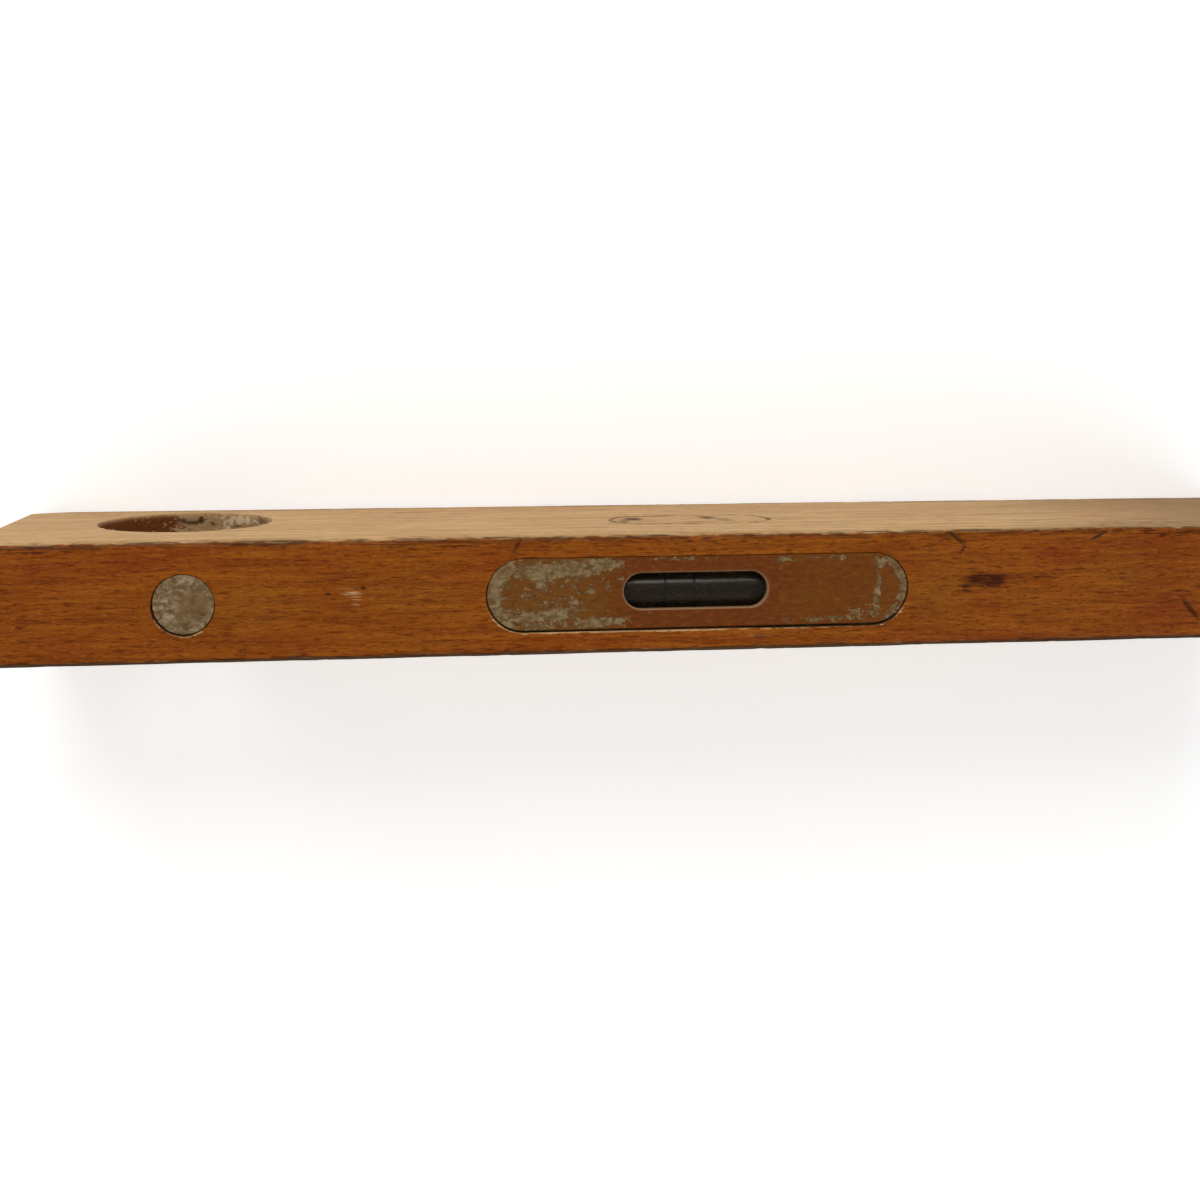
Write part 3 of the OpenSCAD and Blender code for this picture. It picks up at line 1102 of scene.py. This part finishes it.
def wood_material():
    """Beech: orange-brown varnish with short dark rays, rubbed bare and pale where it is handled."""
    s = Shader("beech")
    streaks = s.noise((0.035, 0.8, 0.8), 6, 0.6, 0.4)
    fine = s.noise((0.12, 3.2, 3.2), 4, 0.6)
    blotches = s.noise((0.03, 0.10, 0.10), 3, 0.5)
    ray_noise = s.noise((0.32, 1.9, 1.9), 3, 0.55, 0.3)
    rays = s.step(ray_noise, 0.51, 0.68)
    small_rays = s.step(s.noise((0.85, 3.8, 3.8), 2, 0.5), 0.54, 0.68)
    pale_rays = s.step(s.noise((0.5, 3.4, 3.4), 2, 0.5, 0.2), 0.58, 0.70)

    varnish = s.mix(s.step(streaks, 0.3, 0.7), (0.185, 0.041, 0.0030), (0.290, 0.081, 0.0058))
    ochre = s.math("MULTIPLY", s.painted("ochre"), s.step(blotches, 0.3, 0.6))
    varnish = s.mix(s.math("MULTIPLY", ochre, 0.75), varnish, (0.215, 0.078, 0.0080))
    red = s.math("MAXIMUM", s.painted("red"), s.step(blotches, 0.54, 0.70, 0, 0.5))
    reddened = s.math("MULTIPLY", red, s.step(streaks, 0.25, 0.6, 0.3, 0.95))
    varnish = s.mix(reddened, varnish, (0.195, 0.032, 0.0042))
    bands = s.noise((0.07, 0.75, 0.75), 4, 0.6, 0.3)
    varnish = s.mix(s.step(bands, 0.50, 0.72, 0, 0.5), varnish, (0.130, 0.026, 0.0026))
    varnish = s.mix(s.step(bands, 0.46, 0.28, 0, 0.5), varnish, (0.330, 0.105, 0.0090))
    varnish = s.mix(s.math("MULTIPLY", pale_rays, 0.42), varnish, (0.40, 0.145, 0.015))
    varnish = s.mix(s.math("MULTIPLY", rays, 0.66), varnish, (0.092, 0.016, 0.0022))
    varnish = s.mix(s.math("MULTIPLY", small_rays, 0.5), varnish, (0.098, 0.019, 0.0024))

    bare = s.mix(s.step(streaks, 0.32, 0.68), (0.33, 0.192, 0.076), (0.52, 0.330, 0.158))
    bare = s.mix(s.step(fine, 0.45, 0.75, 0, 0.6), bare, (0.62, 0.425, 0.230))
    bare = s.mix(s.step(blotches, 0.46, 0.66, 0, 0.45), bare, (0.46, 0.250, 0.120))
    bare = s.mix(s.math("MULTIPLY", rays, 0.42), bare, (0.24, 0.125, 0.050))
    dulled = s.math("MULTIPLY", s.painted("dull"), s.step(streaks, 0.2, 0.6, 0.45, 1))
    bare = s.mix(dulled, bare, (0.150, 0.074, 0.027))

    # the painted bare share also holds the painted highlight on the rims of the plate's recess and the
    # disc's seat, shown in the bare wood colour
    worn_by = s.math("ADD", s.painted("bare"), s.step(fine, 0.3, 0.7, -0.22, 0.22))
    worn = s.step(worn_by, 0.35, 0.65)
    colour = s.mix(worn, varnish, bare)

    along = s.math("ABSOLUTE", s.axis("X"))
    end = s.step(along, HALF_LENGTH_MM - 0.9, HALF_LENGTH_MM - 0.3)
    pores = s.step(s.noise((0, 2.6, 2.6), 2, 0.5), 0.5, 0.66)
    rings = s.noise((0, 0.9, 0.10), 3, 0.5, 0.2)
    end_grain = s.mix(s.step(rings, 0.35, 0.65), (0.15, 0.060, 0.018), (0.27, 0.130, 0.048))
    end_grain = s.mix(s.math("MULTIPLY", pores, 0.5), end_grain, (0.07, 0.026, 0.008))
    colour = s.mix(end, colour, end_grain)

    cut_tone = s.mix(s.step(blotches, 0.4, 0.6), (0.10, 0.050, 0.020), (0.17, 0.095, 0.044))
    wall_tone = s.mix(s.step(fine, 0.35, 0.65), (0.098, 0.026, 0.0055), (0.165, 0.050, 0.0120))
    cut_tone = s.mix(s.painted("wall"), cut_tone, wall_tone)
    crumbs = s.noise((0.45, 0.7, 0.7), 6, 0.65, 0.5)
    # the painted plaster share is plaster, and on the sight hole's inner half also a painted lit half of
    # the wall in pale tan
    plaster_and_lit_wall = s.math("ADD", s.painted("plaster"), s.step(crumbs, 0.25, 0.75, -0.35, 0.35))
    tan = s.mix(s.step(fine, 0.35, 0.65), (0.25, 0.145, 0.062), (0.44, 0.285, 0.145))
    cut_tone = s.mix(s.step(plaster_and_lit_wall, 0.12, 0.34), cut_tone, tan)
    cut_tone = s.mix(s.step(plaster_and_lit_wall, 0.62, 0.80), cut_tone, (0.60, 0.44, 0.28))
    colour = s.mix(s.painted("cut"), colour, cut_tone)

    spread = s.math("ADD", s.painted("stain"), s.step(ray_noise, 0.3, 0.7, -0.30, 0.30))
    spread = s.math("ADD", spread, s.step(fine, 0.3, 0.7, -0.14, 0.14))
    colour = s.mix(s.step(spread, 0.15, 1.0, 0, 0.9), colour, (0.040, 0.007, 0.003))
    # this painted attribute holds dirt and also painted shade along the back arris, in the plate and
    # disc gaps and at the plumb bore's opening; all of it goes to the same near-black brown
    dirt_and_shade_reach = s.math("ADD", s.painted("dirt_and_shade"), s.step(fine, 0.3, 0.7, -0.25, 0.2))
    dirt_and_shade_mask = s.step(dirt_and_shade_reach, 0.2, 0.85)
    colour = s.mix(s.math("MULTIPLY", dirt_and_shade_mask, 0.88), colour, (0.032, 0.012, 0.004))

    gloss = s.step(worn, 0, 1, 0.40, 0.75)
    gloss = s.math("ADD", gloss, s.step(fine, 0.2, 0.8, -0.05, 0.08))
    s.set(Base_Color=colour, Roughness=gloss, Specular_IOR_Level=0.07)
    height = s.math("ADD", s.math("MULTIPLY", fine, 0.5), s.math("MULTIPLY", rays, -0.35))
    height = s.math("ADD", height, s.math("MULTIPLY", dirt_and_shade_mask, -0.5))
    s.bump(height, 0.05 * MM)
    return s.material


def metal_tones(s):
    """Colours of oxidised aluminium: grey-beige with pits and pale crust."""
    crust = s.noise((0.55, 0.75, 0.6), 6, 0.65, 0.6)
    pits = s.step(s.noise((1.9, 2.2, 2), 3, 0.6), 0.58, 0.70)
    tone = s.mix(s.step(crust, 0.35, 0.65), (0.140, 0.080, 0.029), (0.280, 0.195, 0.100))
    tone = s.mix(s.math("MULTIPLY", pits, 0.6), tone, (0.060, 0.034, 0.015))
    worn = s.step(s.noise((0.35, 0.45, 0.4), 5, 0.6, 0.4), 0.50, 0.66)
    tone = s.mix(s.math("MULTIPLY", worn, 0.55), tone, (0.105, 0.056, 0.018))
    return tone, crust, pits


def plate_material():
    """Brown varnish over aluminium, flaked to the oxidised metal."""
    s = Shader("flaked_plate")
    tone, crust, pits = metal_tones(s)
    ragged = s.noise((0.55, 0.80, 0.7), 8, 0.72, 0.6)
    soft = s.noise((0.05, 0.16, 0.1), 3, 0.5)
    near_window, flaky_end = 14, 24
    red = s.step(s.math("ABSOLUTE", s.axis("X")), 26, near_window)
    paint_tone = s.mix(s.step(soft, 0.35, 0.65), (0.150, 0.047, 0.0065), (0.140, 0.039, 0.0052))
    paint_tone = s.mix(s.math("MULTIPLY", red, 0.9), paint_tone, (0.132, 0.032, 0.0060))
    olive = s.step(s.axis("X"), near_window, flaky_end)
    paint_tone = s.mix(s.math("MULTIPLY", olive, 0.7), paint_tone, (0.140, 0.056, 0.0095))
    paint_tone = s.mix(s.step(crust, 0.5, 0.8, 0, 0.35), paint_tone, (0.18, 0.065, 0.012))
    mottle = s.noise((0.5, 1.1, 0.8), 5, 0.65)
    paint_tone = s.mix(s.step(mottle, 0.50, 0.70, 0, 0.65), paint_tone, (0.085, 0.022, 0.0040))
    paint_tone = s.mix(s.step(mottle, 0.48, 0.30, 0, 0.55), paint_tone, (0.210, 0.080, 0.0130))
    crumbs = s.noise((1.5, 2.2, 2), 4, 0.7)
    reach = s.math("ADD", s.painted("flake"), s.step(ragged, 0.28, 0.72, -0.46, 0.46))
    reach = s.math("ADD", reach, s.step(crumbs, 0.3, 0.7, -0.24, 0.24))
    flaked = s.step(reach, 0.50, 0.56)
    colour = s.mix(flaked, paint_tone, tone)
    colour = s.mix(s.math("MULTIPLY", s.painted("rim"), 0.8), colour, (0.36, 0.22, 0.12))
    metallic = s.math("MULTIPLY", s.math("MAXIMUM", flaked, s.painted("rim")), 0.25)
    s.set(
        Base_Color=colour,
        Metallic=metallic,
        Roughness=s.step(flaked, 0, 1, 0.45, 0.65),
        Specular_IOR_Level=0.06,
    )
    height = s.math("ADD", s.math("MULTIPLY", flaked, -0.8), s.math("MULTIPLY", pits, -0.4))
    s.bump(height, 0.05 * MM)
    return s.material


def disc_material():
    s = Shader("oxidised_disc")
    tone, crust, pits = metal_tones(s)
    tone = s.mix(s.step(crust, 0.52, 0.66, 0, 0.85), tone, (0.36, 0.285, 0.185))
    shade = s.math("ADD", s.painted("brown"), s.step(crust, 0.3, 0.7, -0.25, 0.25))
    colour = s.mix(s.step(shade, 0.35, 0.75, 0, 0.75), tone, (0.170, 0.088, 0.028))
    s.set(
        Base_Color=colour,
        Metallic=0.25,
        Roughness=s.step(crust, 0.3, 0.7, 0.5, 0.68),
        Specular_IOR_Level=0.2,
    )
    s.bump(s.math("ADD", crust, s.math("MULTIPLY", pits, -0.7)), 0.06 * MM)
    return s.material


def spike_material():
    s = Shader("spike_steel")
    rust = s.noise((0.8, 0.8, 0.5), 5, 0.6)
    s.set(
        Base_Color=s.mix(s.step(rust, 0.4, 0.6), (0.32, 0.30, 0.28), (0.16, 0.07, 0.03)),
        Metallic=0.8,
        Roughness=s.step(rust, 0.3, 0.7, 0.35, 0.7),
    )
    s.bump(rust, 0.03 * MM)
    return s.material


def plaster_material():
    s = Shader("plaster")
    grain = s.noise((1.5, 1.5, 1.5), 6, 0.65)
    lumps = s.noise((0.3, 0.3, 0.3), 3, 0.5)
    colour = s.mix(s.step(lumps, 0.35, 0.65), (0.40, 0.32, 0.22), (0.62, 0.55, 0.44))
    s.set(Base_Color=s.mix(s.step(grain, 0.55, 0.75, 0, 0.6), colour, (0.26, 0.19, 0.12)), Roughness=0.9)
    s.bump(grain, 0.12 * MM)
    return s.material


def ink_material():
    s = Shader("index_ink")
    patchy = s.noise((2, 2, 2), 4, 0.6)
    colour = s.mix(s.step(patchy, 0.35, 0.75), (0.003, 0.003, 0.003), (0.012, 0.011, 0.010))
    s.set(Base_Color=colour, Roughness=s.step(patchy, 0.3, 0.7, 0.35, 0.6))
    s.bump(patchy, 0.01 * MM)
    return s.material


def dusty_glass_material():
    """Old soda glass under a film of brown dust, so dull and not quite clear."""
    s = Shader("dusty_vial_glass")
    dust = s.noise((0.10, 0.8, 0.8), 5, 0.6)
    s.set(
        Base_Color=s.mix(s.step(dust, 0.4, 0.7), (0.60, 0.46, 0.31), (0.45, 0.33, 0.21)),
        Roughness=s.step(dust, 0.35, 0.75, 0.22, 0.36),
        IOR=1.5,
        Specular_IOR_Level=0.05,
        Transmission_Weight=0.975,
    )
    s.bump(dust, 0.01 * MM)
    return s.material


def clear_glass_material():
    """The plumb vial's glass, wiped clean by use, with a little haze left."""
    s = Shader("clear_vial_glass")
    haze = s.noise((0.5, 0.5, 0.12), 4, 0.6)
    s.set(
        Base_Color=s.mix(s.step(haze, 0.4, 0.8), (0.94, 0.96, 0.93), (0.86, 0.87, 0.82)),
        Roughness=s.step(haze, 0.5, 0.8, 0.01, 0.10),
        IOR=1.5,
        Transmission_Weight=1.0,
    )
    return s.material


def liquid_material():
    s = Shader("vial_liquid")
    haze = s.noise((0.2, 0.2, 0.2), 2, 0.5)
    s.set(
        Base_Color=s.mix(s.step(haze, 0.3, 0.7), (0.80, 0.84, 0.58), (0.74, 0.79, 0.52)),
        Roughness=0.0,
        IOR=1.36,
        Transmission_Weight=1.0,
    )
    return s.material


def bubble_material():
    s = Shader("bubble")
    film = s.noise((0.4, 0.4, 0.4), 2, 0.5)
    s.set(
        Base_Color=s.mix(s.step(film, 0.3, 0.7), (0.96, 0.97, 0.95), (0.90, 0.92, 0.90)),
        Roughness=0.0,
        IOR=0.75,
        Transmission_Weight=1.0,
    )
    return s.material


# ---------------- the whole scene


def place_on(obj, body, node):
    """The piece stands for a CAD node and moves with its body."""
    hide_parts(node)
    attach(obj, body)


def finish_cad_nodes():
    """The spikes, index lines and plaster keep their CAD shape and get their own materials."""
    finishes = {
        "cover_plate_spikes": spike_material(),
        "level_vial_index_lines": ink_material(),
        "plumb_vial_index_lines": ink_material(),
        "level_vial_bed_plumb_end": plaster_material(),
        "level_vial_bed_plain_end": plaster_material(),
        "plumb_vial_bed_top": plaster_material(),
        "plumb_vial_bed_bottom": plaster_material(),
    }
    for node, material in finishes.items():
        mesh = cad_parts[node].data
        mesh.materials.clear()
        mesh.materials.append(material)


def make_floor():
    """A plain pale floor that the working face rests on."""
    half = 4.0
    corners = [(-half, -half, 0), (half, -half, 0), (half, half, 0), (-half, half, 0)]
    floor = mesh_object("floor", corners, [(0, 1, 2, 3)])
    s = Shader("floor")
    cloudy = s.noise((0.01, 0.01, 0.01), 2, 0.5)
    s.set(
        Base_Color=s.mix(cloudy, (0.80, 0.80, 0.80), (0.84, 0.84, 0.83)),
        Roughness=0.9,
        Emission_Color=(1, 1, 1),
        Emission_Strength=0.36,
    )
    floor.data.materials.append(s.material)


make_camera()
make_studio()
make_floor()
make_stock()
make_plate()
make_disc()
make_vials()
finish_cad_nodes()
